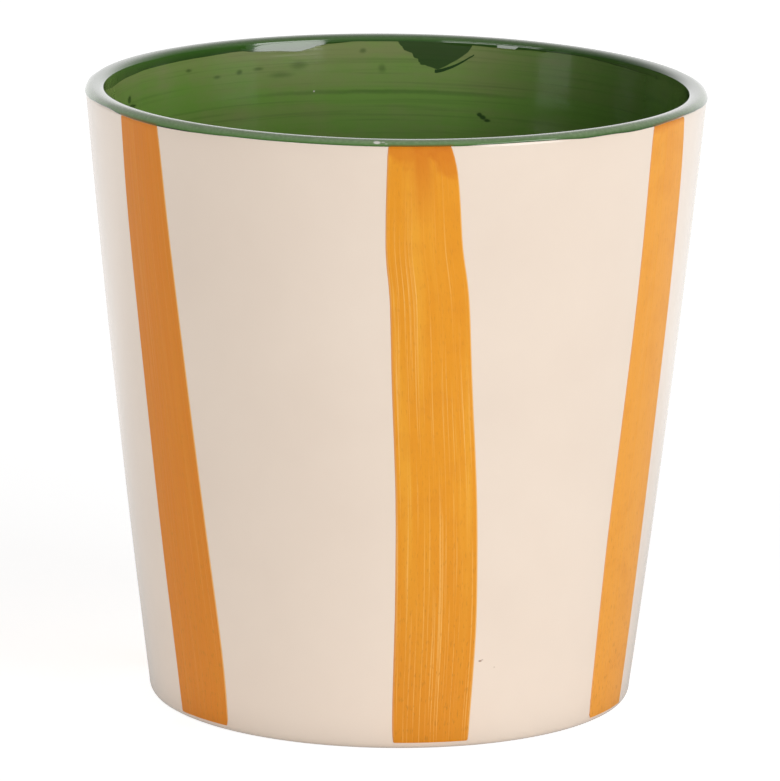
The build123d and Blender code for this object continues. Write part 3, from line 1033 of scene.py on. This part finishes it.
def makeSweep():
    material, tree = startMaterial("whiteSweep")
    camera, mirrored = rayShares(tree)
    place = addNode(tree, "NewGeometry").outputs["Position"]
    depth = addNode(tree, "SeparateXYZ", {0: place}).outputs[1]
    brighter = addNode(tree, "MapRange", {
        "Value": depth, "From Min": mm(studio["glowFrom"]), "From Max": mm(studio["glowTo"]),
        "To Min": studio["floorGlow"], "To Max": 1})
    shaded = addNode(tree, "BsdfDiffuse", {"Color": [studio["floorShadow"]] * 3 + [1]})
    glow = addNode(tree, "Emission", {"Color": white, "Strength": brighter})
    seen = addNode(tree, "AddShader", {0: shaded, 1: glow})
    paper = addNode(tree, "BsdfDiffuse", {"Color": toLinear(studio["floor"])})
    # no light is sent on from under the foot
    fromPot = addNode(tree, "VectorMath", {0: place}, operation='LENGTH')
    openFloor = addNode(tree, "MapRange", {
        "Value": fromPot, "From Min": mm(studio["bounceStart"]), "From Max": mm(studio["bounceFull"]),
        "To Max": studio["floorBounce"]})
    bounce = addNode(tree, "Emission", {"Color": white, "Strength": openFloor})
    lit = addNode(tree, "AddShader", {0: paper, 1: bounce})
    table = addNode(tree, "MapRange", {
        "Value": depth, "From Min": mm(studio["tableFrom"]), "From Max": mm(studio["tableTo"]),
        "To Min": studio["glossBehindCamera"], "To Max": 1})
    inGloss = addNode(tree, "Emission", {"Color": white, "Strength": table})
    indirect = addNode(tree, "MixShader", {0: mirrored, 1: lit, 2: inGloss})
    choice = addNode(tree, "MixShader", {0: camera, 1: indirect, 2: seen})
    addNode(tree, "OutputMaterial", {"Surface": choice})
    bpy.ops.object.select_all(action='DESELECT')
    bpy.ops.mesh.primitive_plane_add(size=mm(studio["floorSize"]), location=(0, 0, 0))
    sweepPlane = bpy.context.object
    sweepPlane.name = "whiteSweep"
    sweepPlane.data.materials.append(material)


def makeSurround():
    world = bpy.data.worlds.new("whiteSurround")
    world.use_nodes = True
    tree = world.node_tree
    tree.nodes.clear()
    camera, mirrored = rayShares(tree)
    towards = addNode(tree, "TexCoord").outputs["Generated"]
    split = addNode(tree, "SeparateXYZ", {0: towards})
    low = addNode(tree, "MapRange", {
        "Value": split.outputs[2], "From Min": studio["roofFrom"], "From Max": studio["roofTo"], "To Min": 1,
        "To Max": 0})
    level = addNode(tree, "MapRange", {
        "Value": split.outputs[2], "From Min": studio["skyFrom"], "From Max": studio["skyTo"],
        "To Min": studio["horizon"], "To Max": studio["overhead"]})
    # the room is white beyond the pot and dim above it and behind the camera
    beyond = addNode(tree, "MapRange", {
        "Value": split.outputs[1], "From Min": studio["beyondFrom"], "From Max": studio["beyondTo"],
        "To Min": studio["glossBehindCamera"], "To Max": 1})
    inGloss = addNode(tree, "Mix", {0: low, 2: studio["glossOverhead"], 3: beyond})
    indirect = addNode(tree, "Mix", {0: mirrored, 2: level, 3: inGloss})
    strength = addNode(tree, "Mix", {0: camera, 2: indirect, 3: 1})
    glow = addNode(tree, "Background", {"Color": white, "Strength": strength})
    addNode(tree, "OutputWorld", {"Surface": glow})
    bpy.context.scene.world = world


def makeSoftbox(name, box):
    turn, climb = math.radians(box["bearing"]), math.radians(box["elevation"])
    away = Vector((math.sin(turn) * math.cos(climb), -math.cos(turn) * math.cos(climb), math.sin(climb)))
    centre = Vector((0, 0, mm(rimHeight)))
    bpy.ops.object.light_add(type='AREA', location=centre + away * mm(box["distance"]))
    lamp = bpy.context.object
    lamp.name = name
    lamp.rotation_euler = away.to_track_quat('Z', 'Y').to_euler()
    lamp.data.shape = 'RECTANGLE'
    lamp.data.size = mm(box["width"])
    lamp.data.size_y = mm(box["height"])
    lamp.data.energy = box["radiance"] * math.pi * lamp.data.size * lamp.data.size_y


def makeCamera():
    climb = math.radians(view["elevation"])
    back = mm(view["distance"])
    eye = Vector((0, -math.cos(climb) * back, mm(rimHeight / 2) + math.sin(climb) * back))
    bpy.ops.object.camera_add()
    camera = bpy.context.object
    camera.matrix_world = (Matrix.Translation(eye) @ Matrix.Rotation(math.pi / 2 - climb, 4, 'X')
                           @ Matrix.Rotation(math.radians(view["roll"]), 4, 'Z'))
    camera.data.sensor_width = 36
    camera.data.lens = view["lens"]
    camera.data.shift_x = view["shiftX"]
    camera.data.shift_y = view["shiftY"]
    camera.data.clip_end = 100
    bpy.context.scene.camera = camera


makeSweep()
makeSurround()
for boxName, box in softboxes.items():
    makeSoftbox(boxName, box)
makeCamera()
print("studio is set")

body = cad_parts["earthenware_body"]
body.data.materials.clear()
body.data.materials.append(makeClay())
creamCoat = makeCoat(makeCream())
ochre = makeOchre()
for strokeName, shape in strokes.items():
    makeStroke(strokeName, shape, creamCoat, ochre)
makeLining(makeGreen())
print("pot is made")

bpy.context.scene.view_settings.view_transform = 'Standard'
